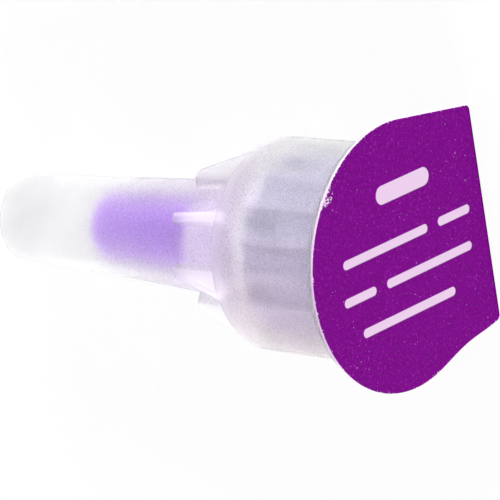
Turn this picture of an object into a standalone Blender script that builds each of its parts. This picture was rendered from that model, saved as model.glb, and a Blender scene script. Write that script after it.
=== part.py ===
"""Pen needle sealed in its outer shield, lying on its side.

The assembly is modelled standing on its seal, nose up, with its axis on local Z, and the
seal's pull tab toward local Y. An empty named pen_needle_rest then lays it down, so that it
rests on the straight end of the tab and on the round edge of the nose. Units are metres.
"""

import math

import bmesh
import bpy
from mathutils import Matrix, Vector

MM = 0.001

# Turned pieces
STEPS = 64
WELD = 0.000001

# Outer shield, measured up from the flange's face
FLANGE_RADIUS = 7.7 * MM
FLANGE_THICKNESS = 0.55 * MM
BODY_RADIUS_OPEN = 6.42 * MM
BODY_RADIUS_SHOULDER = 6.36 * MM
BODY_WALL = 0.62 * MM
SHOULDER_HEIGHT = 9.14 * MM
SHOULDER_WALL = 0.80 * MM
SHOULDER_FILLET = 0.42 * MM
NOSE_BASE_RADIUS = 3.85 * MM
NOSE_FLARE_SLOPE = 0.088
NOSE_FLARE_CURVE = 1.65
NOSE_WALL = 0.55 * MM
NOSE_TIP_FILLET = 0.75 * MM
SHIELD_LENGTH = 29.7 * MM
GUIDE_BORE_START = 15.0 * MM
GUIDE_BORE_RADIUS = 2.40 * MM
GUIDE_BORE_END_RADIUS = 2.15 * MM

# Peel-off seal, which covers the flange and stands a little past it
SEAL_RADIUS = FLANGE_RADIUS + 0.3 * MM
SEAL_THICKNESS = 0.15 * MM
SEAL_SIDE_ANGLE = math.radians(10.6)
TAB_END = FLANGE_RADIUS + 0.25 * MM
TAB_CORNER = 0.35 * MM
SEAL_CLEARANCE = 0.03 * MM

# Gusset fins on the shoulder, and the drive ribs in line with them inside the body
FIN_COUNT = 8
FIN_THICKNESS = 0.55 * MM
FIN_TOP = 14.1 * MM
FIN_TOP_RADIUS = 4.40 * MM
FIN_CORNER = 0.7 * MM
FIN_FOOT_RADIUS = 6.2 * MM
FIN_TURN = math.radians(-10.9)
DRIVE_RIB_WIDTH = 0.6 * MM
DRIVE_RIB_LOW = 5.3 * MM

# Needle hub
HUB_RADIUS = 5.2 * MM
HUB_OPEN_HEIGHT = 0.9 * MM
HUB_FRONT_HEIGHT = SHOULDER_HEIGHT - SHOULDER_WALL - 0.05 * MM
HUB_SOCKET_RADIUS = 4.6 * MM
HUB_SOCKET_TOP = 7.4 * MM
HUB_RIB_COUNT = 16
HUB_RIB_RADIUS = 5.45 * MM
HUB_RIB_WIDTH = 0.5 * MM
NECK_RADIUS = 2.35 * MM
NECK_TOP = 14.7 * MM
BOSS_RADIUS = 1.50 * MM
BOSS_TIP_RADIUS = 1.38 * MM
BOSS_TOP = 16.7 * MM

# Inner shield
INNER_SHIELD_RADIUS = 2.10 * MM
INNER_SHIELD_TIP_RADIUS = 2.00 * MM
INNER_SHIELD_TOP = 22.8 * MM
INNER_SHIELD_WALL = 0.5 * MM
INNER_SHIELD_TIP_WALL = 0.8 * MM
INNER_SHIELD_END_FILLET = 0.9 * MM

# Cannula
CANNULA_RADIUS = 0.125 * MM
CANNULA_BORE_RADIUS = 0.065 * MM
CANNULA_EXPOSED = 5.0 * MM
CANNULA_LOW = 1.7 * MM
CANNULA_BEVEL = math.radians(14.0)

# Clearances between neighbouring pieces
SEAT_CLEARANCE = 0.05 * MM
CANNULA_CLEARANCE = 0.03 * MM


def clear_scene():
    """Remove every object of the scene."""
    for item in list(bpy.data.objects):
        bpy.data.objects.remove(item, do_unlink=True)


def make_collection(name):
    """Return a new collection linked to the scene."""
    collection = bpy.data.collections.new(name)
    bpy.context.scene.collection.children.link(collection)
    return collection


def make_material(name, color, roughness, metallic=0.0, alpha=1.0):
    """Return a Principled material with plain values."""
    material = bpy.data.materials.new(name)
    material.use_nodes = True
    shader = material.node_tree.nodes["Principled BSDF"]
    shader.inputs["Base Color"].default_value = (color[0], color[1], color[2], 1.0)
    shader.inputs["Roughness"].default_value = roughness
    shader.inputs["Metallic"].default_value = metallic
    shader.inputs["Alpha"].default_value = alpha
    material.diffuse_color = (color[0], color[1], color[2], alpha)
    return material


def add_object(name, mesh, collection, material=None):
    """Link a new object that shows a mesh."""
    item = bpy.data.objects.new(name, mesh)
    collection.objects.link(item)
    if material is not None:
        mesh.materials.append(material)
    return item


def arc(center, radius, start, stop, count):
    """Points of an arc in a profile plane, angles in degrees."""
    points = []
    for index in range(count + 1):
        angle = math.radians(start + (stop - start) * index / count)
        points.append((center[0] + radius * math.cos(angle), center[1] + radius * math.sin(angle)))
    return points


def turned(name, profile, collection, material, closed_loop=False):
    """Turn a profile of (radius, height) points round local Z."""
    mesh = bpy.data.meshes.new(name)
    shape = bmesh.new()
    vertices = [shape.verts.new((radius, 0.0, height)) for radius, height in profile]
    for first, second in zip(vertices, vertices[1:]):
        shape.edges.new((first, second))
    if closed_loop:
        shape.edges.new((vertices[-1], vertices[0]))
    shape.to_mesh(mesh)
    shape.free()
    item = add_object(name, mesh, collection, material)
    screw = item.modifiers.new("Turn", "SCREW")
    screw.axis = "Z"
    screw.angle = math.tau
    screw.steps = STEPS
    screw.render_steps = STEPS
    screw.use_merge_vertices = True
    screw.merge_threshold = WELD
    screw.use_smooth_shade = True
    return item


def flat_plate(name, outline, thickness, collection):
    """Mesh object of a flat outline in local XY, centred on Z."""
    curve = bpy.data.curves.new(name, "CURVE")
    curve.dimensions = "2D"
    curve.fill_mode = "BOTH"
    curve.extrude = thickness / 2.0
    spline = curve.splines.new("POLY")
    spline.points.add(len(outline) - 1)
    for point, (x, y) in zip(spline.points, outline):
        point.co = (x, y, 0.0, 1.0)
    spline.use_cyclic_u = True
    source = bpy.data.objects.new(name + "_outline", curve)
    collection.objects.link(source)
    bpy.context.view_layer.update()
    graph = bpy.context.evaluated_depsgraph_get()
    mesh = bpy.data.meshes.new_from_object(source.evaluated_get(graph))
    bpy.data.objects.remove(source, do_unlink=True)
    shape = bmesh.new()
    shape.from_mesh(mesh)
    bmesh.ops.remove_doubles(shape, verts=shape.verts, dist=WELD)
    bmesh.ops.recalc_face_normals(shape, faces=shape.faces)
    shape.to_mesh(mesh)
    shape.free()
    mesh.name = name
    return add_object(name, mesh, collection)


def add_boolean(item, tool, operation):
    """Add an exact Boolean with a hidden tool."""
    modifier = item.modifiers.new(tool.name, "BOOLEAN")
    modifier.operation = operation
    modifier.solver = "EXACT"
    modifier.object = tool
    tool.hide_render = True
    tool.display_type = "WIRE"
    return modifier


def radial_bars(name, count, turn, width, inner, outer, low, high, collection):
    """One mesh of straight bars that stand round the axis."""
    mesh = bpy.data.meshes.new(name)
    shape = bmesh.new()
    size = Vector((outer - inner, width, high - low))
    center = Vector(((outer + inner) / 2.0, 0.0, (high + low) / 2.0))
    for index in range(count):
        spin = Matrix.Rotation(turn + math.tau * index / count, 4, "Z")
        place = spin @ Matrix.Translation(center) @ Matrix.Diagonal((size.x, size.y, size.z, 1.0))
        bmesh.ops.create_cube(shape, size=1.0, matrix=place)
    shape.to_mesh(mesh)
    shape.free()
    return add_object(name, mesh, collection)


def nose_radius(height):
    """Outer radius of the nose, which flares gently into its base."""
    rise = height - SHOULDER_HEIGHT
    return NOSE_BASE_RADIUS - NOSE_FLARE_SLOPE * rise + NOSE_FLARE_CURVE * rise * rise


def nose_bore_radius(height):
    """Bore of the nose: wide below the guide bore, close above it."""
    if height < GUIDE_BORE_START:
        return nose_radius(height) - NOSE_WALL
    part = (height - GUIDE_BORE_START) / (SHIELD_LENGTH - GUIDE_BORE_START)
    return GUIDE_BORE_RADIUS + (GUIDE_BORE_END_RADIUS - GUIDE_BORE_RADIUS) * part


def shield_profile():
    """Outer side from the nose tip down to the flange, then the inside back up."""
    fillet_low = SHIELD_LENGTH - NOSE_TIP_FILLET
    tip_radius = nose_radius(fillet_low)
    points = [(0.0, SHIELD_LENGTH), (tip_radius * 0.45, SHIELD_LENGTH - 0.01 * MM)]
    points += reversed(arc((tip_radius - NOSE_TIP_FILLET, fillet_low), NOSE_TIP_FILLET, 0, 84, 6))
    foot = 0.3 * MM
    base = SHOULDER_HEIGHT + foot
    for index in range(1, 9):
        height = fillet_low + (base - fillet_low) * index / 8
        points.append((nose_radius(height), height))
    foot_center = (nose_radius(base) + foot, base)
    points += [(foot_center[0] + foot * math.cos(math.radians(a)), foot_center[1] + foot * math.sin(math.radians(a)))
               for a in (210, 240, 270)]
    fillet_center = (BODY_RADIUS_SHOULDER - SHOULDER_FILLET, SHOULDER_HEIGHT - SHOULDER_FILLET)
    points += reversed(arc(fillet_center, SHOULDER_FILLET, 0, 90, 5))
    points += [(BODY_RADIUS_OPEN, FLANGE_THICKNESS + 0.15 * MM), (BODY_RADIUS_OPEN + 0.15 * MM, FLANGE_THICKNESS)]
    points += [(FLANGE_RADIUS - 0.08 * MM, FLANGE_THICKNESS), (FLANGE_RADIUS, FLANGE_THICKNESS - 0.08 * MM)]
    points += [(FLANGE_RADIUS, 0.0), (BODY_RADIUS_OPEN - BODY_WALL + 0.1 * MM, 0.0)]
    points.append((BODY_RADIUS_OPEN - BODY_WALL, 0.1 * MM))
    inner_top = SHOULDER_HEIGHT - SHOULDER_WALL
    inner_radius = BODY_RADIUS_SHOULDER - BODY_WALL
    points += [(inner_radius, inner_top - 0.25 * MM), (inner_radius - 0.25 * MM, inner_top)]
    points.append((nose_bore_radius(inner_top) + 0.1 * MM, inner_top))
    bore_low = inner_top + 0.1 * MM
    for index in range(6):
        height = bore_low + (GUIDE_BORE_START - 0.4 * MM - bore_low) * index / 5
        points.append((nose_bore_radius(height), height))
    points += [(GUIDE_BORE_RADIUS, GUIDE_BORE_START)]
    bore_end = SHIELD_LENGTH - 0.65 * MM
    points += arc((GUIDE_BORE_END_RADIUS - 0.6 * MM, bore_end - 0.6 * MM), 0.6 * MM, 0, 84, 4)
    points.append((0.0, bore_end + 0.005 * MM))
    return points


def fin_outline():
    """Outline of one gusset fin, as (radius, height) points."""
    top_inner = nose_radius(FIN_TOP) - 0.25 * MM
    low = SHOULDER_HEIGHT - 0.3 * MM
    foot = (FIN_FOOT_RADIUS, SHOULDER_HEIGHT - 0.09 * MM)
    lean = math.atan2(foot[0] - FIN_TOP_RADIUS, FIN_TOP - foot[1])
    corner = (FIN_TOP_RADIUS - FIN_CORNER * math.tan(math.pi / 4.0 - lean / 2.0), FIN_TOP - FIN_CORNER)
    points = [(nose_radius(low) - 0.25 * MM, low), (FIN_FOOT_RADIUS, low), foot]
    points += arc(corner, FIN_CORNER, math.degrees(lean), 90.0, 5)
    points.append((top_inner, FIN_TOP))
    return points


def build_outer_shield(parts, tools, material):
    """The translucent moulding, with its fins and drive ribs joined on."""
    shield = turned("outer_shield", shield_profile(), parts, material)
    for index in range(FIN_COUNT):
        fin = flat_plate("fin_%d" % (index + 1), fin_outline(), FIN_THICKNESS, tools)
        rounding = fin.modifiers.new("Round", "BEVEL")
        rounding.width = 0.07 * MM
        rounding.segments = 1
        rounding.limit_method = "ANGLE"
        rounding.angle_limit = math.radians(60.0)
        fin.rotation_euler = (math.radians(90.0), 0.0, FIN_TURN + math.tau * index / FIN_COUNT)
        add_boolean(shield, fin, "UNION")
    inner_top = SHOULDER_HEIGHT - SHOULDER_WALL
    ribs = radial_bars("drive_ribs", FIN_COUNT, FIN_TURN, DRIVE_RIB_WIDTH, HUB_RADIUS + SEAT_CLEARANCE,
                       BODY_RADIUS_SHOULDER - BODY_WALL + 0.2 * MM, DRIVE_RIB_LOW, inner_top + 0.2 * MM, tools)
    add_boolean(shield, ribs, "UNION")
    return shield


def seal_outline():
    """Disc with two straight sides, tangent to it, that lean in toward the tab's end."""
    lean = SEAL_SIDE_ANGLE
    count = 60
    first = math.pi / 2.0 - lean
    points = []
    for index in range(count + 1):
        turn = first + 2.0 * (math.pi - first) * index / count
        points.append((SEAL_RADIUS * math.sin(turn), SEAL_RADIUS * math.cos(turn)))
    half = (SEAL_RADIUS - TAB_END * math.sin(lean)) / math.cos(lean)
    inset = TAB_CORNER / math.tan((math.pi / 2.0 + lean) / 2.0)
    side = math.degrees(lean)
    points += arc((-half + inset, TAB_END - TAB_CORNER), TAB_CORNER, 180.0 - side, 90.0, 4)
    points += arc((half - inset, TAB_END - TAB_CORNER), TAB_CORNER, 90.0, side, 4)
    return points


def build_seal(parts, material):
    """The thin peel-off seal, a hair off the flange's face."""
    seal = flat_plate("seal_label", seal_outline(), SEAL_THICKNESS, parts)
    seal.data.materials.append(material)
    seal.location = (0.0, 0.0, -SEAL_CLEARANCE - SEAL_THICKNESS / 2.0)
    return seal


def build_inner_shield(parts, material):
    """The closed tube over the needle, seated on the hub's neck."""
    low = NECK_TOP + SEAT_CLEARANCE
    fillet = INNER_SHIELD_END_FILLET
    top = INNER_SHIELD_TOP
    bore = BOSS_RADIUS + SEAT_CLEARANCE
    points = [(0.0, top), (0.5 * MM, top - 0.02 * MM)]
    points += reversed(arc((INNER_SHIELD_TIP_RADIUS - fillet, top - fillet), fillet, 0, 80, 6))
    points += [(INNER_SHIELD_RADIUS, low + 0.1 * MM), (INNER_SHIELD_RADIUS - 0.1 * MM, low)]
    points += [(bore + 0.1 * MM, low), (bore, low + 0.1 * MM)]
    inner_top = top - INNER_SHIELD_TIP_WALL
    inner_tip = INNER_SHIELD_TIP_RADIUS - INNER_SHIELD_WALL
    points += arc((inner_tip - 0.5 * MM, inner_top - 0.5 * MM), 0.5 * MM, 0, 80, 3)
    points.append((0.0, inner_top + 0.01 * MM))
    return turned("inner_shield", points, parts, material)


def build_hub(parts, tools, material):
    """Cup that screws onto a pen, with a neck and a boss, bored for the cannula."""
    hole = CANNULA_RADIUS + CANNULA_CLEARANCE
    front = HUB_FRONT_HEIGHT
    points = [(hole, BOSS_TOP), (BOSS_TIP_RADIUS - 0.2 * MM, BOSS_TOP), (BOSS_TIP_RADIUS, BOSS_TOP - 0.2 * MM)]
    points += [(BOSS_RADIUS, NECK_TOP), (NECK_RADIUS - 0.1 * MM, NECK_TOP), (NECK_RADIUS, NECK_TOP - 0.1 * MM)]
    points += [(NECK_RADIUS + 0.15 * MM, front + 0.3 * MM), (NECK_RADIUS + 0.45 * MM, front)]
    points += [(HUB_RADIUS - 0.25 * MM, front), (HUB_RADIUS, front - 0.25 * MM), (HUB_RADIUS, HUB_OPEN_HEIGHT)]
    points += [(HUB_SOCKET_RADIUS + 0.15 * MM, HUB_OPEN_HEIGHT), (HUB_SOCKET_RADIUS, HUB_OPEN_HEIGHT + 0.15 * MM)]
    points += [(HUB_SOCKET_RADIUS, HUB_SOCKET_TOP - 0.3 * MM), (HUB_SOCKET_RADIUS - 0.3 * MM, HUB_SOCKET_TOP)]
    points += [(1.3 * MM, HUB_SOCKET_TOP), (0.9 * MM, HUB_SOCKET_TOP - 0.8 * MM), (hole, HUB_SOCKET_TOP - 0.8 * MM)]
    hub = turned("needle_hub", points, parts, material, closed_loop=True)
    spacing = math.tau / HUB_RIB_COUNT
    ribs = radial_bars("hub_ribs", HUB_RIB_COUNT, FIN_TURN + spacing / 2.0, HUB_RIB_WIDTH, HUB_RADIUS - 0.3 * MM,
                       HUB_RIB_RADIUS, HUB_OPEN_HEIGHT + 0.3 * MM, front - 0.5 * MM, tools)
    add_boolean(hub, ribs, "UNION")
    return hub


def build_cannula(parts, tools, material):
    """Fine hollow tube with a slanted cut at each end."""
    top = BOSS_TOP + CANNULA_EXPOSED
    profile = [(CANNULA_RADIUS, top), (CANNULA_RADIUS, CANNULA_LOW), (CANNULA_BORE_RADIUS, CANNULA_LOW),
               (CANNULA_BORE_RADIUS, top)]
    cannula = turned("cannula", profile, parts, material, closed_loop=True)
    cannula.modifiers["Turn"].steps = 24
    cannula.modifiers["Turn"].render_steps = 24
    edge = CANNULA_RADIUS * 0.97
    reach = CANNULA_RADIUS * 10.0
    for name, height, side in (("tip_cut", top, 1.0), ("tail_cut", CANNULA_LOW, -1.0)):
        mesh = bpy.data.meshes.new(name)
        shape = bmesh.new()
        bmesh.ops.create_cube(shape, size=2.0 * reach, matrix=Matrix.Translation((-reach, 0.0, 0.0)))
        shape.to_mesh(mesh)
        shape.free()
        cutter = add_object(name, mesh, tools)
        cutter.location = (edge, 0.0, height)
        cutter.rotation_euler = (0.0, side * CANNULA_BEVEL, 0.0)
        add_boolean(cannula, cutter, "DIFFERENCE")
    return cannula


def rest_tilt():
    """Angle by which the nose hangs down when the tab's end and the nose share a floor."""
    fillet_low = SHIELD_LENGTH - NOSE_TIP_FILLET
    along = fillet_low + SEAL_CLEARANCE
    across = TAB_END - (nose_radius(fillet_low) - NOSE_TIP_FILLET)
    return math.atan2(across, along) - math.asin(NOSE_TIP_FILLET / math.hypot(along, across))


def footprint_middle(turn):
    """Middle, in X and Y, of the box round the seal and the shield after a turn."""
    corners = [turn @ Vector((x, y, height)) for x, y in seal_outline()
               for height in (-SEAL_CLEARANCE, -SEAL_CLEARANCE - SEAL_THICKNESS)]
    for radius, height in shield_profile():
        for index in range(STEPS):
            angle = math.tau * index / STEPS
            corners.append(turn @ Vector((radius * math.cos(angle), radius * math.sin(angle), height)))
    across = [corner.x for corner in corners]
    deep = [corner.y for corner in corners]
    return (min(across) + max(across)) / 2.0, (min(deep) + max(deep)) / 2.0


def lay_down(pieces):
    """Parent the pieces and their cutters to an empty that lays the assembly on its side."""
    tilt = rest_tilt()
    rest = bpy.data.objects.new("pen_needle_rest", None)
    bpy.context.scene.collection.objects.link(rest)
    nose_back = Matrix.Rotation(math.radians(-90.0), 4, "Y")
    tab_down = Matrix.Rotation(math.radians(-90.0), 4, "X")
    nose_down = Matrix.Rotation(-tilt, 4, "Y")
    turn = nose_down @ tab_down @ nose_back
    middle_x, middle_y = footprint_middle(turn)
    seal_height = TAB_END * math.cos(tilt) - SEAL_CLEARANCE * math.sin(tilt)
    rest.matrix_world = Matrix.Translation((-middle_x, -middle_y, seal_height)) @ turn
    for piece in pieces:
        piece.parent = rest
    return rest


def main():
    """Build every piece and lay the assembly down."""
    clear_scene()
    parts = make_collection("pen_needle")
    tools = make_collection("pen_needle_tools")
    shield = build_outer_shield(parts, tools, make_material("frosted_shield", (0.86, 0.84, 0.90), 0.55, alpha=0.6))
    seal = build_seal(parts, make_material("purple_seal", (0.22, 0.0, 0.27), 0.4))
    inner = build_inner_shield(parts, make_material("purple_plastic", (0.30, 0.12, 0.72), 0.4))
    hub = build_hub(parts, tools, make_material("hub_plastic", (0.62, 0.63, 0.72), 0.45))
    cannula = build_cannula(parts, tools, make_material("needle_steel", (0.75, 0.75, 0.76), 0.2, metallic=1.0))
    lay_down([shield, seal, inner, hub, cannula] + list(tools.objects))
    bpy.context.view_layer.update()


main()
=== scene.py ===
"""Looks of a sealed pen needle that lies on its side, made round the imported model.

Every sub-assembly is a class that builds its mesh in the part's own frame, where the axis is Z
with the nose up and the seal's tab points along Y, and then lays it down as the model lies.
Sizes in the classes are millimetres, angles degrees, and a noise's scale is per millimetre.
"""

from __future__ import annotations

import logging
import math
from dataclasses import dataclass
from enum import Enum
from typing import Any, Iterable, Mapping, Sequence, Union

import bmesh
import bpy
from mathutils import Matrix, Vector

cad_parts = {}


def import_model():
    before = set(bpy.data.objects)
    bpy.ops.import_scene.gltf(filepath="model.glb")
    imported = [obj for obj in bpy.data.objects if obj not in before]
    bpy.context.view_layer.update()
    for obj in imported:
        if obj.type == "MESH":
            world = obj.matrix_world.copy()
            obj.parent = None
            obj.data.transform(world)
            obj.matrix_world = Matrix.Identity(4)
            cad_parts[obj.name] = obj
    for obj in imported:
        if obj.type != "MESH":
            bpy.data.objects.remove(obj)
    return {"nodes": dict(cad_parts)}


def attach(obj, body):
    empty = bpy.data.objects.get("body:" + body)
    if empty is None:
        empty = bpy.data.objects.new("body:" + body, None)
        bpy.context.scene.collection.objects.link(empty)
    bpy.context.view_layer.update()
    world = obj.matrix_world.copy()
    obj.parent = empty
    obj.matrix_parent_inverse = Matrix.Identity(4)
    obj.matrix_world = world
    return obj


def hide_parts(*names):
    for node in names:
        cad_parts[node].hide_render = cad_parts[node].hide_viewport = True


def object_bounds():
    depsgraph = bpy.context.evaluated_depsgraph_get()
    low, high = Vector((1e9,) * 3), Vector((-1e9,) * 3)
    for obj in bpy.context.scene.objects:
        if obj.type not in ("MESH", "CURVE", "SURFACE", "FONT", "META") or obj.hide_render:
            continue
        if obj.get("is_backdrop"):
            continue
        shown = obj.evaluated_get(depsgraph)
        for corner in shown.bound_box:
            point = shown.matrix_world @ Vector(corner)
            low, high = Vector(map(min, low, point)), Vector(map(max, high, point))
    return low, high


MM = 0.001
BODY = "root"
LOG = logging.getLogger("pen_needle")

Color = tuple[float, float, float]
Point = tuple[float, float]
Span = tuple[float, float]
Place = tuple[float, float, float]

# Points of a turned shape that lie closer than this are one point.
WELD = 0.0005
# Edges of a plate whose faces turn by more than this angle are rounded.
CORNER = 60.0


class Edge(Enum):
    """How a turned profile is closed."""

    ON_AXIS = "both ends meet the axis"
    LOOP = "the last point joins the first"


class Sharpness(Enum):
    """Angle, in degrees, above which an edge is shaded as a crease."""

    MOULDED = 32.0
    SHEET = 50.0


@dataclass(frozen=True)
class Noise:
    """Settings of one noise."""

    scale: float
    detail: float = 2.0
    rough: float = 0.5


@dataclass(frozen=True)
class Relief:
    """Strength of a bump, and the height of its full step."""

    strength: float
    height: float


@dataclass(frozen=True)
class Row:
    """One row of bars: its place across the sheet, half a bar's width, and each bar's two ends."""

    place: float
    half: float
    spans: tuple[Span, ...]


@dataclass(frozen=True)
class RestPose:
    """The way the assembly lies: nose toward -X and a little down, the tab's end on the floor.

    The tilt is in radians. Forward and up are where the middle of the flange's face lies.
    """

    tilt: float
    forward: float
    up: float

    @classmethod
    def of(cls, shield: OuterShield, seal: PeelSeal, reach: float) -> RestPose:
        """Work the pose out from the two pieces that touch the floor.

        Args:
            shield: The shield, which lies on the round edge of its nose.
            seal: The seal, which lies on the straight end of its tab.
            reach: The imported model's highest X.

        Returns:
            The pose.
        """
        center = shield.length - shield.tip_fillet
        along = center + seal.clearance
        across = seal.tab_end - (shield.nose_radius(center) - shield.tip_fillet)
        tilt = math.atan2(across, along) - math.asin(shield.tip_fillet / math.hypot(along, across))
        forward = reach + seal.outer_face() * math.cos(tilt) - seal.tab_end * math.sin(tilt)
        up = seal.tab_end * math.cos(tilt) - seal.clearance * math.sin(tilt)
        return cls(tilt, forward, up)

    def matrix(self) -> Matrix:
        """Work out the transform of the pose.

        Returns:
            The transform from the part's own frame in millimetres to the scene in metres.
        """
        nose_back = Matrix.Rotation(math.radians(-90.0), 4, "Y")
        tab_down = Matrix.Rotation(math.radians(-90.0), 4, "X")
        nose_down = Matrix.Rotation(-self.tilt, 4, "Y")
        place = Matrix.Translation(Vector((self.forward, 0.0, self.up)))
        return Matrix.Scale(MM, 4) @ place @ nose_down @ tab_down @ nose_back


class Socket:
    """One output of a shader node, on which arithmetic adds Math nodes."""

    def __init__(self, tree: Nodes, output: bpy.types.NodeSocket) -> None:
        """Keep the output and the tree that owns it."""
        self.tree = tree
        self.output = output

    def math(self, operation: str, *others: Value, clamp: bool = False) -> Socket:
        """Add one Math node.

        Args:
            operation: Name of the node's operation.
            others: Its inputs after the first.
            clamp: Keep the result between 0 and 1.

        Returns:
            The node's result.
        """
        settings = {"operation": operation, "use_clamp": clamp}
        return self.tree.node("ShaderNodeMath", settings, dict(enumerate((self,) + others)))

    def __add__(self, other: Value) -> Socket:
        """Sum."""
        return self.math("ADD", other)

    def __sub__(self, other: Value) -> Socket:
        """Difference."""
        return self.math("SUBTRACT", other)

    def __rsub__(self, other: float) -> Socket:
        """Difference from a number."""
        return self.tree.node("ShaderNodeMath", {"operation": "SUBTRACT"}, {0: other, 1: self})

    def __mul__(self, other: Value) -> Socket:
        """Product."""
        return self.math("MULTIPLY", other)

    def __pow__(self, other: Value) -> Socket:
        """Power."""
        return self.math("POWER", other)

    def __abs__(self) -> Socket:
        """Size without sign."""
        return self.math("ABSOLUTE")

    __radd__ = __add__
    __rmul__ = __mul__

    def clamped(self) -> Socket:
        """The value kept between 0 and 1."""
        return self.math("ADD", 0.0, clamp=True)

    def rise(self, low: float, high: float) -> Socket:
        """Smooth step.

        Args:
            low: Value at which the result is 0.
            high: Value at which the result is 1, and which may lie below the other.

        Returns:
            The step.
        """
        inputs = {"Value": self, "From Min": low, "From Max": high}
        return self.tree.node("ShaderNodeMapRange", {"interpolation_type": "SMOOTHSTEP"}, inputs)


Value = Union[Socket, float]


class Nodes:
    """A node tree under construction."""

    def __init__(self, tree: bpy.types.NodeTree, output: str) -> None:
        """Empty a tree and give it its output node.

        Args:
            tree: The tree of a material or a world.
            output: The output node's type.
        """
        self.tree = tree
        self.tree.nodes.clear()
        self.output = self.tree.nodes.new(output)

    def node(self, kind: str, settings: Mapping[str, Any], inputs: Mapping[Any, Any], out: Any = 0) -> Socket:
        """Add one node.

        Args:
            kind: The node's type.
            settings: Its properties, which are set first.
            inputs: Values or links by socket name or number.
            out: Name or number of the output to return.

        Returns:
            The chosen output.
        """
        item = self.tree.nodes.new(kind)
        for key, value in settings.items():
            setattr(item, key, value)
        for key, value in inputs.items():
            self._feed(item.inputs[key], value)
        return Socket(self, item.outputs[out])

    def _feed(self, target: bpy.types.NodeSocket, value: Any) -> None:
        """Link or set one input.

        Args:
            target: The input.
            value: A node's output to link, or the value to set.
        """
        if isinstance(value, Socket):
            self.tree.links.new(value.output, target)
        elif target.type == "RGBA":
            target.default_value = (*value, 1.0)
        else:
            target.default_value = value

    def seen(self) -> Socket:
        """Tell the rays that are seen from those that only light.

        Returns:
            1 for a ray from the camera, off a glossy surface or through a clear one, else 0.
        """
        camera = self.node("ShaderNodeLightPath", {}, {}, "Is Camera Ray")
        rays = camera.output.node.outputs
        glossy = Socket(self, rays["Is Glossy Ray"])
        clear = Socket(self, rays["Is Transmission Ray"])
        return (camera + glossy + clear).clamped()

    def end(self, surface: Socket) -> None:
        """Link the surface to the output."""
        self.tree.links.new(surface.output, self.output.inputs["Surface"])


class Shader(Nodes):
    """A node material under construction."""

    def __init__(self, name: str) -> None:
        """Start an empty material.

        Args:
            name: The material's name.
        """
        self.material = bpy.data.materials.new(name)
        self.material.use_nodes = True
        super().__init__(self.material.node_tree, "ShaderNodeOutputMaterial")

    def place(self, rest: RestPose) -> Socket:
        """Turn object coordinates back to the part's own frame.

        Args:
            rest: The way the part lies.

        Returns:
            The coordinates, in millimetres.
        """
        back = rest.matrix().inverted()
        size = 1.0 / MM
        coordinates = self.node("ShaderNodeTexCoord", {}, {}, "Object")
        turn = back.to_3x3().normalized().to_euler("XYZ")
        inputs = {"Vector": coordinates, "Location": back.to_translation(), "Rotation": turn,
                  "Scale": (size, size, size)}
        return self.node("ShaderNodeMapping", {"vector_type": "POINT"}, inputs)

    def axes(self, vector: Socket) -> tuple[Socket, Socket, Socket]:
        """Separate a vector.

        Args:
            vector: The vector.

        Returns:
            Its three numbers.
        """
        first = self.node("ShaderNodeSeparateXYZ", {}, {"Vector": vector})
        outputs = first.output.node.outputs
        return first, Socket(self, outputs[1]), Socket(self, outputs[2])

    def noise(self, vector: Socket, noise: Noise) -> Socket:
        """Noise between 0 and 1."""
        inputs = {"Vector": vector, "Scale": noise.scale, "Detail": noise.detail, "Roughness": noise.rough}
        return self.node("ShaderNodeTexNoise", {}, inputs)

    def slant(self) -> Socket:
        """0 where a surface is seen square on, 1 where it is seen edge on."""
        return self.node("ShaderNodeLayerWeight", {}, {"Blend": 0.5}, "Facing")

    def blend(self, factor: Value, first: Any, second: Any, mode: str = "MIX") -> Socket:
        """Mix two colours."""
        settings = {"data_type": "RGBA", "blend_type": mode, "clamp_factor": True}
        return self.node("ShaderNodeMix", settings, {0: factor, 6: first, 7: second}, 2)

    def tinted(self, color: Socket, tint: Socket) -> Socket:
        """A colour darkened by a value from 0 to 1."""
        gray = self.node("ShaderNodeCombineColor", {}, {0: tint, 1: tint, 2: tint})
        return self.blend(1.0, color, gray, "MULTIPLY")

    def bump(self, height: Socket, relief: Relief) -> Socket:
        """Normal bent by a height from 0 to 1."""
        inputs = {"Height": height, "Strength": relief.strength, "Distance": relief.height * MM}
        return self.node("ShaderNodeBump", {}, inputs)

    def finish(self, inputs: Mapping[str, Any]) -> bpy.types.Material:
        """Close the material with a Principled shader.

        Args:
            inputs: The shader's values or links, by socket name.

        Returns:
            The material.
        """
        self.end(self.node("ShaderNodeBsdfPrincipled", {}, inputs))
        return self.material


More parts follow.
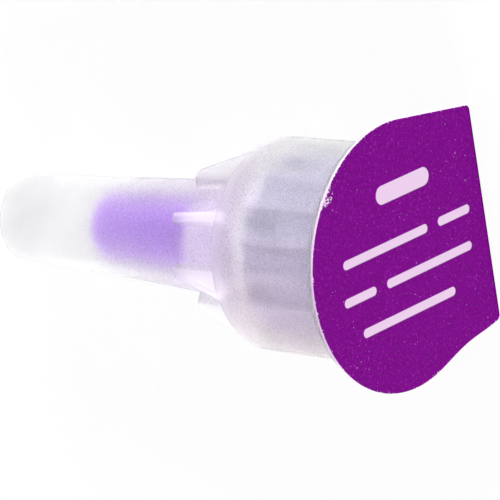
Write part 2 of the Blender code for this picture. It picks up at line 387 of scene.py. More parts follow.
@dataclass(frozen=True)
class FrostedPlastic:
    """Translucent frosted moulding, clearer in the nose than in the body, with painted purple light from the
    inner shield in the nose and a painted pink reflection of the seal on one side of the body.

    A wall that is seen at a slant is a longer way through the plastic, and so a little darker; this is
    painted into the colour by the viewing angle, partly that real longer way and partly painted shade along
    the outline.
    """

    nose: Color = (0.94, 0.935, 0.945)
    # Painted purple light from the inner shield, strongest low on the nose.
    painted_purple_cast: Color = (0.93, 0.89, 0.96)
    painted_purple_span: Span = (23.0, 16.0)
    fin: Color = (1.0, 0.99, 1.0)
    fin_root: Span = (4.1, 4.3)
    body_top: Color = (0.995, 1.0, 0.99)
    # Painted reflection of the purple seal on one side of the body.
    body_low_seal_reflection: Color = (0.98, 0.94, 0.95)
    body_half: float = 4.5
    body_height: float = 9.2
    body_blend: float = 0.6
    edge_blend: float = 0.2
    grain: Noise = Noise(1.0 / 0.07, 0.0)
    grain_span: Span = (0.45, 0.65)
    grain_depth: float = 0.31
    clear_depth: float = 0.03
    clear_span: Span = (23.5, 19.5)
    fin_calm: float = 0.8
    shoulder_span: Span = (8.1, 8.5)
    shoulder_calm: float = 0.85
    cloud: Noise = Noise(0.45)
    cloud_span: Span = (0.3, 0.7)
    cloud_depth: float = 0.05
    slant_shade_span: Span = (0.55, 1.0)
    slant_shade_depth: float = 0.16
    roughness: float = 0.85
    transmission: float = 0.97
    ior: float = 1.2
    relief: Relief = Relief(0.25, 0.02)

    def depth(self, z: Socket, fins: Socket) -> Socket:
        """Depth of the grain: full on the body, less on fins and shoulder, least near the tip.

        Args:
            z: Height along the axis.
            fins: 1 on the fins.

        Returns:
            The depth.
        """
        low, high = self.shoulder_span
        shoulder = z.rise(low, high) * z.rise(self.body_height + self.edge_blend, self.body_height)
        share = z.rise(*self.clear_span) * (1.0 - fins * self.fin_calm)
        share = share * (1.0 - shoulder * self.shoulder_calm)
        return share * (self.grain_depth - self.clear_depth) + self.clear_depth

    def material(self, rest: RestPose) -> bpy.types.Material:
        """Build the material.

        Args:
            rest: The way the part lies.

        Returns:
            The material.
        """
        shader = Shader("frosted_shield")
        place = shader.place(rest)
        x, y, z = shader.axes(place)
        radius = (x * x + y * y) ** 0.5
        fins = radius.rise(*self.fin_root) * z.rise(self.body_height - self.edge_blend, self.body_height)
        # Painted reflection of the seal: one side of the body is tinted pink, fading to near white across it.
        body = shader.blend(x.rise(-self.body_half, self.body_half), self.body_low_seal_reflection, self.body_top)
        # Painted purple light from the inner shield: the nose turns lavender from near its tip down toward
        # the fins.
        nose = shader.blend(z.rise(*self.painted_purple_span), self.nose, self.painted_purple_cast)
        nose = shader.blend(fins, nose, self.fin)
        color = shader.blend(z.rise(self.body_height, self.body_height - self.body_blend), nose, body)
        grain = shader.noise(place, self.grain).rise(*self.grain_span)
        cloud = shader.noise(place, self.cloud).rise(*self.cloud_span)
        tint = 1.0 - cloud * self.cloud_depth - grain * self.depth(z, fins)
        # Painted shade along the outline: darker where the wall is seen edge on, partly the real longer way
        # through the plastic.
        tint = tint * (1.0 - shader.slant().rise(*self.slant_shade_span) * self.slant_shade_depth)
        return shader.finish({"Base Color": shader.tinted(color, tint), "Roughness": self.roughness,
                              "Transmission Weight": self.transmission, "IOR": self.ior,
                              "Normal": shader.bump(grain, self.relief)})


@dataclass(frozen=True)
class PrintedSeal:
    """Purple print on a pale sheet, with plain bars left unprinted and wear along the rim."""

    ink: Color = (0.19, 0.0, 0.235)
    deep_ink: Color = (0.285, 0.0, 0.355)
    worn_ink: Color = (0.44, 0.05, 0.50)
    cut_ink: Color = (0.07, 0.0, 0.09)
    stock: Color = (0.99, 0.74, 0.99)
    side: Color = (0.80, 0.50, 0.86)
    back: Color = (0.90, 0.86, 0.91)
    mottle: Noise = Noise(9.0, 3.0, 0.7)
    mottle_span: Span = (0.35, 0.65)
    fleck: Noise = Noise(8.0, 1.0, 0.7)
    worn_span: Span = (0.58, 0.74)
    worn_share: float = 0.45
    bare_span: Span = (0.77, 0.83)
    rim_width: float = 0.16
    rim_wear: float = 0.18
    chip: Point = (5.6, -5.76)
    chip_square: float = 0.8
    chip_wear: float = 0.3
    cut_span: Span = (0.14, 0.06)
    tab_blend: float = 0.2
    skin: float = 0.015
    skin_blend: float = 0.007
    print_turn: float = -0.035
    bar_blend: float = 0.02
    rows: tuple[Row, ...] = (
        Row(4.0, 0.55, ((-1.6, 3.3),)),
        Row(0.95, 0.27, ((-5.2, 2.6), (3.6, 6.6))),
        Row(-1.25, 0.27, ((-5.5, -2.6), (-1.6, 6.4))),
        Row(-3.45, 0.27, ((-4.2, 4.4),)),
    )
    roughness: float = 0.5
    specular: float = 0.03
    relief: Relief = Relief(0.1, 0.02)

    def bars(self, x: Socket, y: Socket) -> Socket:
        """Draw the bars, which have round ends.

        Args:
            x: Place across the sheet.
            y: Place along the sheet, toward the tab.

        Returns:
            1 inside the bars.
        """
        along = y + x * self.print_turn
        across = x - y * self.print_turn
        total: Value = 0.0
        for row in self.rows:
            off = across - row.place
            for first, last in row.spans:
                reach = (last - first) / 2.0 - row.half
                end = (abs(along - (first + last) / 2.0) - reach).math("MAXIMUM", 0.0)
                distance = (end * end + off * off) ** 0.5
                total = distance.rise(row.half + self.bar_blend, row.half - self.bar_blend) + total
        return total

    def wear(self, x: Socket, y: Socket, sheet: PeelSeal) -> Socket:
        """How much more a place is worn than the middle: along the rim, and most at the chip.

        Args:
            x: Place across the sheet.
            y: Place along the sheet, toward the tab.
            sheet: The seal, whose outline the wear follows.

        Returns:
            The wear, 0 away from the rim and the chip.
        """
        lean = math.radians(sheet.side_angle)
        tab_start = sheet.radius * math.sin(lean)
        tab = y.rise(tab_start - self.tab_blend, tab_start + self.tab_blend)
        sides = abs(x) * math.cos(lean) + y * math.sin(lean)
        out = (x * x + y * y) ** 0.5 * (1.0 - tab) + sides * tab
        rim = out.rise(sheet.radius - self.rim_width, sheet.radius)
        off_x = x - self.chip[0]
        off_y = y - self.chip[1]
        near = (off_x * off_x + off_y * off_y).rise(self.chip_square, 0.0)
        return near * self.chip_wear + rim * self.rim_wear

    def material(self, rest: RestPose, sheet: PeelSeal) -> bpy.types.Material:
        """Build the material.

        Args:
            rest: The way the part lies.
            sheet: The seal, whose outline and faces the print follows.

        Returns:
            The material.
        """
        shader = Shader("purple_seal")
        place = shader.place(rest)
        x, y, z = shader.axes(place)
        mottle = shader.noise(place, self.mottle)
        fleck = shader.noise(place, self.fleck)
        ink = shader.blend(mottle.rise(*self.mottle_span), self.ink, self.deep_ink)
        ink = shader.blend(fleck.rise(*self.worn_span) * self.worn_share, ink, self.worn_ink)
        cut = y.rise(sheet.tab_end - self.cut_span[0], sheet.tab_end - self.cut_span[1])
        ink = shader.blend(cut, ink, self.cut_ink)
        bare = (fleck + self.wear(x, y, sheet)).rise(*self.bare_span)
        color = shader.blend((bare + self.bars(x, y)).clamped(), ink, self.stock)
        face = sheet.outer_face() + self.skin
        color = shader.blend(z.rise(face, face - self.skin_blend), self.side, color)
        back = -sheet.clearance - self.skin
        color = shader.blend(z.rise(back, back + self.skin_blend), color, self.back)
        return shader.finish({"Base Color": color, "Roughness": self.roughness,
                              "Specular IOR Level": self.specular,
                              "Normal": shader.bump(mottle, self.relief)})


@dataclass(frozen=True)
class TubePlastic:
    """Satin purple plastic of the inner shield."""

    color: Color = (0.38, 0.18, 0.71)
    shade: Color = (0.43, 0.22, 0.78)
    grain: Noise = Noise(6.0, 3.0, 0.6)
    roughness: float = 0.4
    sheen: float = 1.0
    sheen_roughness: float = 0.4
    relief: Relief = Relief(0.15, 0.01)

    def material(self, rest: RestPose) -> bpy.types.Material:
        """Build the material.

        Args:
            rest: The way the part lies.

        Returns:
            The material.
        """
        shader = Shader("purple_plastic")
        grain = shader.noise(shader.place(rest), self.grain)
        color = shader.blend(grain, self.color, self.shade)
        return shader.finish({"Base Color": color, "Roughness": self.roughness,
                              "Sheen Weight": self.sheen, "Sheen Roughness": self.sheen_roughness,
                              "Normal": shader.bump(grain, self.relief)})


@dataclass(frozen=True)
class HubPlastic:
    """Pale plastic of the hub, given grey-lavender colours as painted shade for the inside of the body, with
    more painted shade between its ribs and a painted lilac reflection of the inner shield toward its neck.
    """

    # Painted shade: dark grey-lavender for the shade inside the body, darkest in the grooves between the
    # ribs.
    shaded_groove: Color = (0.43, 0.385, 0.57)
    shaded_ridge: Color = (0.54, 0.48, 0.68)
    rib_blend: float = 0.02
    # Painted reflection of the purple inner shield on the hub's neck.
    neck: Color = (0.86, 0.78, 0.95)
    purple_reflection_span: Span = (6.7, 8.2)
    grain: Noise = Noise(6.0, 3.0, 0.6)
    grain_depth: float = 0.1
    roughness: float = 0.45
    relief: Relief = Relief(0.15, 0.01)

    def material(self, rest: RestPose, hub: NeedleHub) -> bpy.types.Material:
        """Build the material.

        Args:
            rest: The way the part lies.
            hub: The hub, whose ribs the colour follows.

        Returns:
            The material.
        """
        shader = Shader("hub_plastic")
        place = shader.place(rest)
        x, y, z = shader.axes(place)
        grain = shader.noise(place, self.grain)
        # Painted shade: darker in the grooves between the ribs than on their tops.
        rib = ((x * x + y * y) ** 0.5).rise(hub.radius + self.rib_blend, hub.rib_radius - self.rib_blend)
        shaded_cup = shader.blend(rib, self.shaded_groove, self.shaded_ridge)
        # Painted reflection of the inner shield: the hub turns lilac toward its neck.
        color = shader.blend(z.rise(*self.purple_reflection_span), shaded_cup, self.neck)
        color = shader.tinted(color, 1.0 - grain * self.grain_depth)
        return shader.finish({"Base Color": color, "Roughness": self.roughness,
                              "Normal": shader.bump(grain, self.relief)})


@dataclass(frozen=True)
class NeedleSteel:
    """Drawn and polished steel tube."""

    color: Color = (0.74, 0.74, 0.76)
    drawing: Noise = Noise(20.0, 2.0, 0.6)
    roughness: float = 0.16
    roughness_range: float = 0.12

    def material(self, rest: RestPose) -> bpy.types.Material:
        """Build the material.

        Args:
            rest: The way the part lies.

        Returns:
            The material.
        """
        shader = Shader("needle_steel")
        roughness = shader.noise(shader.place(rest), self.drawing) * self.roughness_range + self.roughness
        return shader.finish({"Base Color": self.color, "Metallic": 1.0, "Roughness": roughness})


def even(first: float, last: float, count: int) -> list[float]:
    """Evenly spaced values, with both ends.

    Args:
        first: The first value.
        last: The last value.
        count: Number of steps between them.

    Returns:
        The values, one more than the steps.
    """
    return [first + (last - first) * index / count for index in range(count + 1)]


def arc(center: Point, radius: float, start: float, stop: float, count: int) -> list[Point]:
    """Points of an arc in a profile.

    Args:
        center: Middle, as (radius, height).
        radius: The arc's radius.
        start: First angle, from the radius toward the height.
        stop: Last angle.
        count: Number of steps.

    Returns:
        The arc's points, in order.
    """
    turns = [math.radians(angle) for angle in even(start, stop, count)]
    return [(center[0] + radius * math.cos(turn), center[1] + radius * math.sin(turn)) for turn in turns]


def fillet(radius: float, height: float, size: float, count: int, stop: float = 90.0) -> list[Point]:
    """Rounded outer edge that looks away from the axis and up, from its upper end down.

    Args:
        radius: Radius of the side below the edge.
        height: Height of the face above it.
        size: The edge's own radius.
        count: Number of steps.
        stop: Angle at which the rounding meets the face.

    Returns:
        The edge's points, in order.
    """
    return arc((radius - size, height - size), size, stop, 0.0, count)


def turned(profile: Sequence[Point], steps: int, edge: Edge) -> bmesh.types.BMesh:
    """Spin a profile of (radius, height) points round the axis.

    Args:
        profile: The profile.
        steps: Number of faces round.
        edge: How the profile is closed.

    Returns:
        A closed shape with its faces outward.
    """
    shape = bmesh.new()
    points = [shape.verts.new((radius, 0.0, height)) for radius, height in profile]
    for first, second in zip(points, points[1:]):
        shape.edges.new((first, second))
    if edge is Edge.LOOP:
        shape.edges.new((points[-1], points[0]))
    geometry = shape.verts[:] + shape.edges[:]
    bmesh.ops.spin(shape, geom=geometry, axis=(0.0, 0.0, 1.0), cent=(0.0, 0.0, 0.0), angle=math.tau,
                   steps=steps, use_merge=True)
    bmesh.ops.remove_doubles(shape, verts=shape.verts, dist=WELD)
    bmesh.ops.recalc_face_normals(shape, faces=shape.faces)
    return shape


def slab(corners: Sequence[Place], move: Place) -> bmesh.types.BMesh:
    """Solid between a flat outline and its moved copy.

    Args:
        corners: The outline.
        move: Way from the outline to its copy.

    Returns:
        A closed shape with its faces outward.
    """
    shape = bmesh.new()
    face = shape.faces.new([shape.verts.new(corner) for corner in corners])
    raised = bmesh.ops.extrude_face_region(shape, geom=[face])["geom"]
    moved = [item for item in raised if isinstance(item, bmesh.types.BMVert)]
    bmesh.ops.translate(shape, verts=moved, vec=move)
    bmesh.ops.recalc_face_normals(shape, faces=shape.faces)
    return shape


def plates(outline: Sequence[Point], thickness: float, count: int, turn: float,
           edge: float) -> bmesh.types.BMesh:
    """Flat plates that stand round the axis.

    Args:
        outline: Outline of one plate, as (radius, height) points.
        thickness: Thickness of a plate.
        count: Number of plates.
        turn: Angle of the first.
        edge: Width of the rounding along the edges.

    Returns:
        One shape that holds every plate.
    """
    corners = [(radius, -thickness / 2.0, height) for radius, height in outline]
    shape = slab(corners, (0.0, thickness, 0.0))
    rims = [item for item in shape.edges if item.calc_face_angle(0.0) > math.radians(CORNER)]
    bmesh.ops.bevel(shape, geom=rims, offset=edge, segments=2, affect="EDGES", profile=0.5, material=-1)
    first = shape.verts[:] + shape.edges[:] + shape.faces[:]
    for index in range(1, count):
        copy = bmesh.ops.duplicate(shape, geom=first)["geom"]
        points = [item for item in copy if isinstance(item, bmesh.types.BMVert)]
        spin = Matrix.Rotation(math.tau * index / count, 3, "Z")
        bmesh.ops.rotate(shape, verts=points, cent=(0.0, 0.0, 0.0), matrix=spin)
    whole = Matrix.Rotation(math.radians(turn), 3, "Z")
    bmesh.ops.rotate(shape, verts=shape.verts, cent=(0.0, 0.0, 0.0), matrix=whole)
    return shape


def to_object(name: str, shape: bmesh.types.BMesh) -> bpy.types.Object:
    """Free a shape into a new object of the scene.

    Args:
        name: Name of the object and its mesh.
        shape: The shape.

    Returns:
        The object.
    """
    mesh = bpy.data.meshes.new(name)
    shape.to_mesh(mesh)
    shape.free()
    item = bpy.data.objects.new(name, mesh)
    bpy.context.scene.collection.objects.link(item)
    return item


def joined(item: bpy.types.Object, tools: Iterable[bmesh.types.BMesh]) -> None:
    """Unite solids with an object's own mesh, and leave no modifier.

    Args:
        item: The object.
        tools: The solids.
    """
    helpers = [to_object(item.name + "_tool", tool) for tool in tools]
    for helper in helpers:
        modifier = item.modifiers.new(helper.name, "BOOLEAN")
        modifier.operation = "UNION"
        modifier.solver = "EXACT"
        modifier.object = helper
    bpy.context.view_layer.update()
    graph = bpy.context.evaluated_depsgraph_get()
    mesh = bpy.data.meshes.new_from_object(item.evaluated_get(graph))
    item.modifiers.clear()
    item.data = mesh
    mesh.name = item.name
    for helper in helpers:
        bpy.data.objects.remove(helper, do_unlink=True)


def dressed(item: bpy.types.Object, rest: RestPose, node: str,
            material: bpy.types.Material, sharp: Sharpness) -> None:
    """Lay a finished piece down in place of its node.

    Args:
        item: The piece, still in the part's own frame.
        rest: The way the part lies.
        node: The node that it replaces.
        material: Its finish.
        sharp: Which edges stay creased.
    """
    mesh = item.data
    mesh.transform(rest.matrix())
    for polygon in mesh.polygons:
        polygon.use_smooth = True
    mesh.set_sharp_from_angle(angle=math.radians(sharp.value))
    mesh.materials.clear()
    mesh.materials.append(material)
    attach(item, BODY)
    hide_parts(node)
    mesh.calc_loop_triangles()
    LOG.info("%s: %d triangles", item.name, len(mesh.loop_triangles))


@dataclass(frozen=True)
class OuterShield:
    """Frosted moulding: nose, gusset fins, shoulder, body and flange."""

    length: float = 29.7
    tip_fillet: float = 0.75
    tip_flat: float = 0.45
    tip_dome: float = 0.01
    nose_base: float = 3.85
    nose_slope: float = 0.088
    nose_curve: float = 0.00165
    nose_foot: float = 0.3
    nose_wall: float = 0.55
    shoulder: float = 9.14
    shoulder_wall: float = 0.80
    shoulder_fillet: float = 0.42
    body_open: float = 6.42
    body_shoulder: float = 6.36
    body_wall: float = 0.62
    body_fillet: float = 0.25
    flange_radius: float = 7.7
    flange_thickness: float = 0.55
    flange_root: float = 0.15
    flange_edge: float = 0.08
    mouth_edge: float = 0.1
    guide_start: float = 15.0
    guide_step: float = 0.4
    guide_radius: float = 2.40
    guide_end_radius: float = 2.15
    guide_fillet: float = 0.6
    end_wall: float = 0.65
    end_dome: float = 0.005
    fin_count: int = 8
    fin_turn: float = -10.9
    fin_thickness: float = 0.55
    fin_top: float = 14.1
    fin_top_radius: float = 4.40
    fin_corner: float = 0.7
    fin_foot: float = 6.2
    fin_foot_drop: float = 0.09
    fin_depth: float = 0.3
    fin_root: float = 0.25
    fin_edge: float = 0.07
    rib_width: float = 0.6
    rib_low: float = 5.3
    rib_inner: float = 5.25
    rib_root: float = 0.2
    rib_edge: float = 0.05
    steps: int = 224

    def nose_radius(self, height: float) -> float:
        """Outer radius of the nose at a height."""
        rise = height - self.shoulder
        return self.nose_base - self.nose_slope * rise + self.nose_curve * rise * rise

    def bore_radius(self, height: float) -> float:
        """Radius of the nose's wide bore at a height."""
        return self.nose_radius(height) - self.nose_wall

    def outside(self) -> list[Point]:
        """Draw the outer side, from the tip down to the flange's face.

        Returns:
            The side's points.
        """
        low = self.length - self.tip_fillet
        tip = self.nose_radius(low)
        base = self.shoulder + self.nose_foot
        flange = self.flange_thickness
        root = self.flange_root
        points = [(tip * self.tip_flat * part, self.length - self.tip_dome * part ** 2)
                  for part in even(0.0, 1.0, 4)]
        points += fillet(tip, self.length, self.tip_fillet, 14, 84.0)
        points += [(self.nose_radius(height), height) for height in even(low, base, 40)[1:]]
        points += arc((self.nose_radius(base) + self.nose_foot, base), self.nose_foot, 190.0, 270.0, 8)
        points += fillet(self.body_shoulder, self.shoulder, self.shoulder_fillet, 12)
        points += arc((self.body_open + root, flange + root), root, 180.0, 270.0, 5)
        points += fillet(self.flange_radius, flange, self.flange_edge, 5)
        points.append((self.flange_radius, 0.0))
        return points

    def inside(self) -> list[Point]:
        """Draw the inner side, from the flange's face up to the end of the guide bore.

        Returns:
            The side's points.
        """
        mouth = self.body_open - self.body_wall
        edge = self.mouth_edge
        top = self.shoulder - self.shoulder_wall
        inner = self.body_shoulder - self.body_wall
        end = self.length - self.end_wall
        points = arc((mouth + edge, edge), edge, 270.0, 180.0, 4)
        points += arc((inner - self.body_fillet, top - self.body_fillet), self.body_fillet, 0.0, 90.0, 6)
        points += arc((self.bore_radius(top) + edge, top + edge), edge, 270.0, 180.0, 4)
        heights = even(top + edge, self.guide_start - self.guide_step, 20)[1:]
        points += [(self.bore_radius(height), height) for height in heights]
        points.append((self.guide_radius, self.guide_start))
        center = (self.guide_end_radius - self.guide_fillet, end - self.guide_fillet)
        points += arc(center, self.guide_fillet, 0.0, 84.0, 10)
        points.append((0.0, end + self.end_dome))
        return points

    def fin_outline(self) -> list[Point]:
        """Draw a fin, from inside the nose's wall to its sloping edge.

        Returns:
            The outline's points.
        """
        low = self.shoulder - self.fin_depth
        foot = (self.fin_foot, self.shoulder - self.fin_foot_drop)
        lean = math.atan2(foot[0] - self.fin_top_radius, self.fin_top - foot[1])
        corner = (self.fin_top_radius - self.fin_corner * math.tan(math.pi / 4.0 - lean / 2.0),
                  self.fin_top - self.fin_corner)
        points = [(self.nose_radius(low) - self.fin_root, low), (self.fin_foot, low), foot]
        points += arc(corner, self.fin_corner, math.degrees(lean), 90.0, 12)
        points.append((self.nose_radius(self.fin_top) - self.fin_root, self.fin_top))
        return points

    def rib_outline(self) -> list[Point]:
        """Draw a drive rib inside the body.

        Returns:
            The outline's points.
        """
        high = self.shoulder - self.shoulder_wall + self.rib_root
        outer = self.body_shoulder - self.body_wall + self.rib_root
        return [(self.rib_inner, self.rib_low), (outer, self.rib_low), (outer, high), (self.rib_inner, high)]

    def build(self, finish: FrostedPlastic, rest: RestPose) -> None:
        """Make the shield and put it in place of its node.

        Args:
            finish: The shield's finish.
            rest: The way the part lies.
        """
        shape = turned(self.outside() + self.inside(), self.steps, Edge.ON_AXIS)
        item = to_object("frosted_outer_shield", shape)
        fins = plates(self.fin_outline(), self.fin_thickness, self.fin_count, self.fin_turn, self.fin_edge)
        ribs = plates(self.rib_outline(), self.rib_width, self.fin_count, self.fin_turn, self.rib_edge)
        joined(item, (fins, ribs))
        dressed(item, rest, "outer_shield", finish.material(rest), Sharpness.MOULDED)


@dataclass(frozen=True)
class PeelSeal:
    """Thin printed sheet over the flange, with its pull tab."""

    radius: float = 8.0
    thickness: float = 0.15
    side_angle: float = 10.6
    tab_end: float = 7.95
    tab_corner: float = 0.35
    clearance: float = 0.03
    dip: float = 0.20
    dip_steps: int = 14
    round_steps: int = 180
    corner_steps: int = 8

    def outer_face(self) -> float:
        """Height of the printed face."""
        return -self.clearance - self.thickness

    def outline(self) -> list[Point]:
        """Draw the sheet in its own plane.

        Returns:
            The outline's points, round the sheet and then round the tab.
        """
        lean = math.radians(self.side_angle)
        first = math.pi / 2.0 - lean
        turns = even(first, math.tau - first, self.round_steps)
        points = [(self.radius * math.sin(turn), self.radius * math.cos(turn)) for turn in turns]
        half = (self.radius - self.tab_end * math.sin(lean)) / math.cos(lean)
        inset = self.tab_corner / math.tan((math.pi / 2.0 + lean) / 2.0)
        high = self.tab_end - self.tab_corner
        near = arc((-half + inset, high), self.tab_corner, 180.0 - self.side_angle, 90.0, self.corner_steps)
        far = arc((half - inset, high), self.tab_corner, 90.0, self.side_angle, self.corner_steps)
        return points + self.dipped(points[-1], near[0]) + near + far

    def dipped(self, first: Point, last: Point) -> list[Point]:
        """Draw the tab's uneven side, which runs a little inside the straight line.

        Args:
            first: The side's first end.
            last: The side's last end.

        Returns:
            The points between the ends.
        """
        points = []
        for part in even(0.0, 1.0, self.dip_steps)[1:-1]:
            inward = self.dip * math.sin(math.pi * part) ** 2
            across = first[0] + (last[0] - first[0]) * part + inward
            along = first[1] + (last[1] - first[1]) * part
            points.append((across, along))
        return points

    def build(self, finish: PrintedSeal, rest: RestPose) -> None:
        """Make the seal and put it in place of its node.

        Args:
            finish: The seal's finish.
            rest: The way the part lies.
        """
        corners = [(x, y, self.outer_face()) for x, y in self.outline()]
        item = to_object("peel_off_seal", slab(corners, (0.0, 0.0, self.thickness)))
        dressed(item, rest, "seal_label", finish.material(rest, self), Sharpness.SHEET)


@dataclass(frozen=True)
class InnerShield:
    """Closed tube over the needle."""

    radius: float = 2.10
    tip_radius: float = 2.00
    low: float = 14.75
    top: float = 22.8
    crown: tuple[Point, ...] = ((0.0, 0.0), (0.25, 0.005), (0.5, 0.02))
    tip_fillet: float = 0.9
    edge: float = 0.1
    bore: float = 1.55
    wall: float = 0.5
    tip_wall: float = 0.8
    end_fillet: float = 0.5
    end_dome: float = 0.01
    steps: int = 128

    def profile(self) -> list[Point]:
        """Draw the tube's section.

        Returns:
            The section's points, from the tip's outside to the bore's end.
        """
        points = [(radius, self.top - drop) for radius, drop in self.crown]
        points += fillet(self.tip_radius, self.top, self.tip_fillet, 14, 80.0)
        points += [(self.radius, self.low + self.edge), (self.radius - self.edge, self.low)]
        points += [(self.bore + self.edge, self.low), (self.bore, self.low + self.edge)]
        end = self.top - self.tip_wall
        center = (self.tip_radius - self.wall - self.end_fillet, end - self.end_fillet)
        points += arc(center, self.end_fillet, 0.0, 80.0, 8)
        points.append((0.0, end + self.end_dome))
        return points

    def build(self, finish: TubePlastic, rest: RestPose) -> None:
        """Make the tube and put it in place of its node."""
        item = to_object("purple_inner_shield", turned(self.profile(), self.steps, Edge.ON_AXIS))
        dressed(item, rest, "inner_shield", finish.material(rest), Sharpness.MOULDED)


@dataclass(frozen=True)
class NeedleHub:
    """Cup that screws onto a pen, with a neck and a boss in front."""

    radius: float = 5.2
    open_height: float = 0.9
    front: float = 8.29
    front_fillet: float = 0.25
    socket_radius: float = 4.6
    socket_top: float = 7.4
    socket_edge: float = 0.3
    mouth_edge: float = 0.15
    pit_radius: float = 1.3
    pit_end_radius: float = 0.9
    pit_depth: float = 0.8
    rib_count: int = 16
    rib_radius: float = 5.45
    rib_width: float = 0.5
    rib_root: float = 0.3
    rib_start: float = 0.3
    rib_stop: float = 0.5
    rib_edge: float = 0.05
    neck_radius: float = 2.35
    neck_top: float = 14.7
    neck_edge: float = 0.1
    neck_draft: float = 0.15
    neck_root: float = 0.45
    neck_root_height: float = 0.3
    boss_radius: float = 1.50
    boss_tip: float = 1.38
    boss_top: float = 16.7
    boss_fillet: float = 0.2
    hole: float = 0.155
    turn: float = -10.9
    steps: int = 160

    def profile(self) -> list[Point]:
        """Draw the hub's section.

        Returns:
            The section's points, from the boss's tip round to the needle's hole.
        """
        pit = self.socket_top - self.pit_depth
        points = [(self.hole, self.boss_top)]
        points += fillet(self.boss_tip, self.boss_top, self.boss_fillet, 6)
        points += [(self.boss_radius, self.neck_top), (self.neck_radius - self.neck_edge, self.neck_top)]
        points.append((self.neck_radius, self.neck_top - self.neck_edge))
        points.append((self.neck_radius + self.neck_draft, self.front + self.neck_root_height))
        points.append((self.neck_radius + self.neck_root, self.front))
        points += fillet(self.radius, self.front, self.front_fillet, 6)
        points += [(self.radius, self.open_height), (self.socket_radius + self.mouth_edge, self.open_height)]
        points.append((self.socket_radius, self.open_height + self.mouth_edge))
        points.append((self.socket_radius, self.socket_top - self.socket_edge))
        points.append((self.socket_radius - self.socket_edge, self.socket_top))
        points += [(self.pit_radius, self.socket_top), (self.pit_end_radius, pit), (self.hole, pit)]
        return points

    def rib_outline(self) -> list[Point]:
        """Draw one rib on the hub's side.

        Returns:
            The outline's points.
        """
        root = self.radius - self.rib_root
        low = self.open_height + self.rib_start
        high = self.front - self.rib_stop
        return [(root, low), (self.rib_radius, low), (self.rib_radius, high), (root, high)]

    def build(self, finish: HubPlastic, rest: RestPose) -> None:
        """Make the hub and put it in place of its node.

        Args:
            finish: The hub's finish.
            rest: The way the part lies.
        """
        item = to_object("moulded_needle_hub", turned(self.profile(), self.steps, Edge.LOOP))
        half_gap = 180.0 / self.rib_count
        ribs = plates(self.rib_outline(), self.rib_width, self.rib_count, self.turn + half_gap, self.rib_edge)
        joined(item, (ribs,))
        dressed(item, rest, "needle_hub", finish.material(rest, self), Sharpness.MOULDED)


@dataclass(frozen=True)
class Cannula:
    """The needle itself, whose node keeps its shape."""

    node: str = "cannula"

    def build(self, nodes: Mapping[str, bpy.types.Object], finish: NeedleSteel, rest: RestPose) -> None:
        """Dress the needle's node.

        Args:
            nodes: The frame's nodes by name.
            finish: The needle's finish.
            rest: The way the part lies.
        """
        item = nodes[self.node]
        item.data.materials.clear()
        item.data.materials.append(finish.material(rest))
        LOG.info("%s: dressed as it is", item.name)


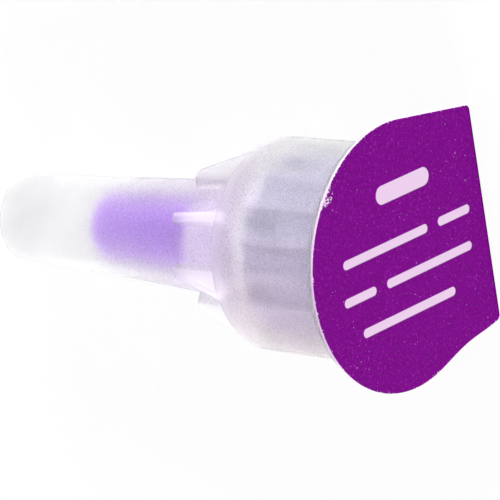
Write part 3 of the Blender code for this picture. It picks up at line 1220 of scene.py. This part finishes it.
@dataclass(frozen=True)
class Studio:
    """Floor, soft lamps, white surroundings and the camera."""

    camera_place: Place = (155.421, 88.096, 244.450)
    camera_right: Place = (0.85719, -0.15399, -0.49144)
    camera_up: Place = (-0.02310, 0.94179, -0.33540)
    lens: float = 360.0
    sensor: float = 36.0
    clip: Span = (10.0, 20000.0)
    floor_size: float = 1500.0
    floor_color: Color = (0.92, 0.92, 0.92)
    white: Color = (1.0, 1.0, 1.0)
    glow: float = 0.9
    sky: float = 0.45
    sky_seen: float = 0.55
    lamp_size: float = 90.0
    aim: Place = (0.0, 0.0, 8.0)
    far_place: Place = (20.0, 240.0, 70.0)
    far_power: float = 0.78
    near_place: Place = (10.0, -230.0, 95.0)
    near_power: float = 0.6
    clear_bounces: int = 32
    diffuse_bounces: int = 8
    glossy_bounces: int = 12

    def camera(self) -> None:
        """Place the camera at the photograph's angle."""
        data = bpy.data.cameras.new("camera")
        data.lens = self.lens
        data.sensor_width = self.sensor
        data.clip_start = self.clip[0] * MM
        data.clip_end = self.clip[1] * MM
        item = bpy.data.objects.new("camera", data)
        bpy.context.scene.collection.objects.link(item)
        right = Vector(self.camera_right).normalized()
        back = right.cross(Vector(self.camera_up)).normalized()
        up = back.cross(right)
        turn = Matrix((right, up, back)).transposed().to_4x4()
        item.matrix_world = Matrix.Translation(Vector(self.camera_place) * MM) @ turn
        bpy.context.scene.camera = item

    def floor(self) -> None:
        """Lay the pale floor, which is seen as white and keeps the part's shadow."""
        shape = bmesh.new()
        bmesh.ops.create_grid(shape, x_segments=1, y_segments=1, size=self.floor_size * MM / 2.0)
        item = to_object("floor", shape)
        shader = Shader("pale_floor")
        diffuse = shader.node("ShaderNodeBsdfDiffuse", {}, {"Color": self.floor_color})
        glow = shader.node("ShaderNodeEmission", {}, {"Color": self.white, "Strength": 1.0})
        share = shader.seen() * self.glow
        shader.end(shader.node("ShaderNodeMixShader", {}, {0: share, 1: diffuse, 2: glow}))
        item.data.materials.append(shader.material)
        item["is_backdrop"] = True

    def world(self) -> None:
        """Surround the scene with soft white."""
        world = bpy.data.worlds.new("studio")
        bpy.context.scene.world = world
        world.use_nodes = True
        sky = Nodes(world.node_tree, "ShaderNodeOutputWorld")
        strength = sky.seen() * self.sky_seen + self.sky
        sky.end(sky.node("ShaderNodeBackground", {}, {"Color": self.white, "Strength": strength}))

    def lamp(self, name: str, place: Place, power: float) -> None:
        """Hang one soft square lamp that faces the part.

        Args:
            name: The lamp's name.
            place: Where it hangs.
            power: Its power in watts.
        """
        data = bpy.data.lights.new(name, "AREA")
        data.size = self.lamp_size * MM
        data.energy = power
        item = bpy.data.objects.new(name, data)
        bpy.context.scene.collection.objects.link(item)
        spot = Vector(place) * MM
        view = Vector(self.aim) * MM - spot
        item.matrix_world = Matrix.Translation(spot) @ view.to_track_quat("-Z", "Y").to_matrix().to_4x4()

    def build(self) -> None:
        """Set the whole studio."""
        self.camera()
        self.floor()
        self.world()
        self.lamp("far_lamp", self.far_place, self.far_power)
        self.lamp("near_lamp", self.near_place, self.near_power)
        scene = bpy.context.scene
        scene.view_settings.view_transform = "Standard"
        scene.cycles.max_bounces = self.clear_bounces
        scene.cycles.transmission_bounces = self.clear_bounces
        scene.cycles.diffuse_bounces = self.diffuse_bounces
        scene.cycles.glossy_bounces = self.glossy_bounces
        LOG.info("studio: camera, floor, surroundings and two lamps")


def main() -> None:
    """Load the frame, take its box and build every piece."""
    logging.basicConfig(level=logging.INFO, format="%(message)s")
    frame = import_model()
    cad_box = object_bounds()
    shield = OuterShield()
    seal = PeelSeal()
    rest = RestPose.of(shield, seal, cad_box[1][0] / MM)
    Studio().build()
    shield.build(FrostedPlastic(), rest)
    seal.build(PrintedSeal(), rest)
    InnerShield().build(TubePlastic(), rest)
    NeedleHub().build(HubPlastic(), rest)
    Cannula().build(frame["nodes"], NeedleSteel(), rest)


if __name__ == "__main__":
    main()
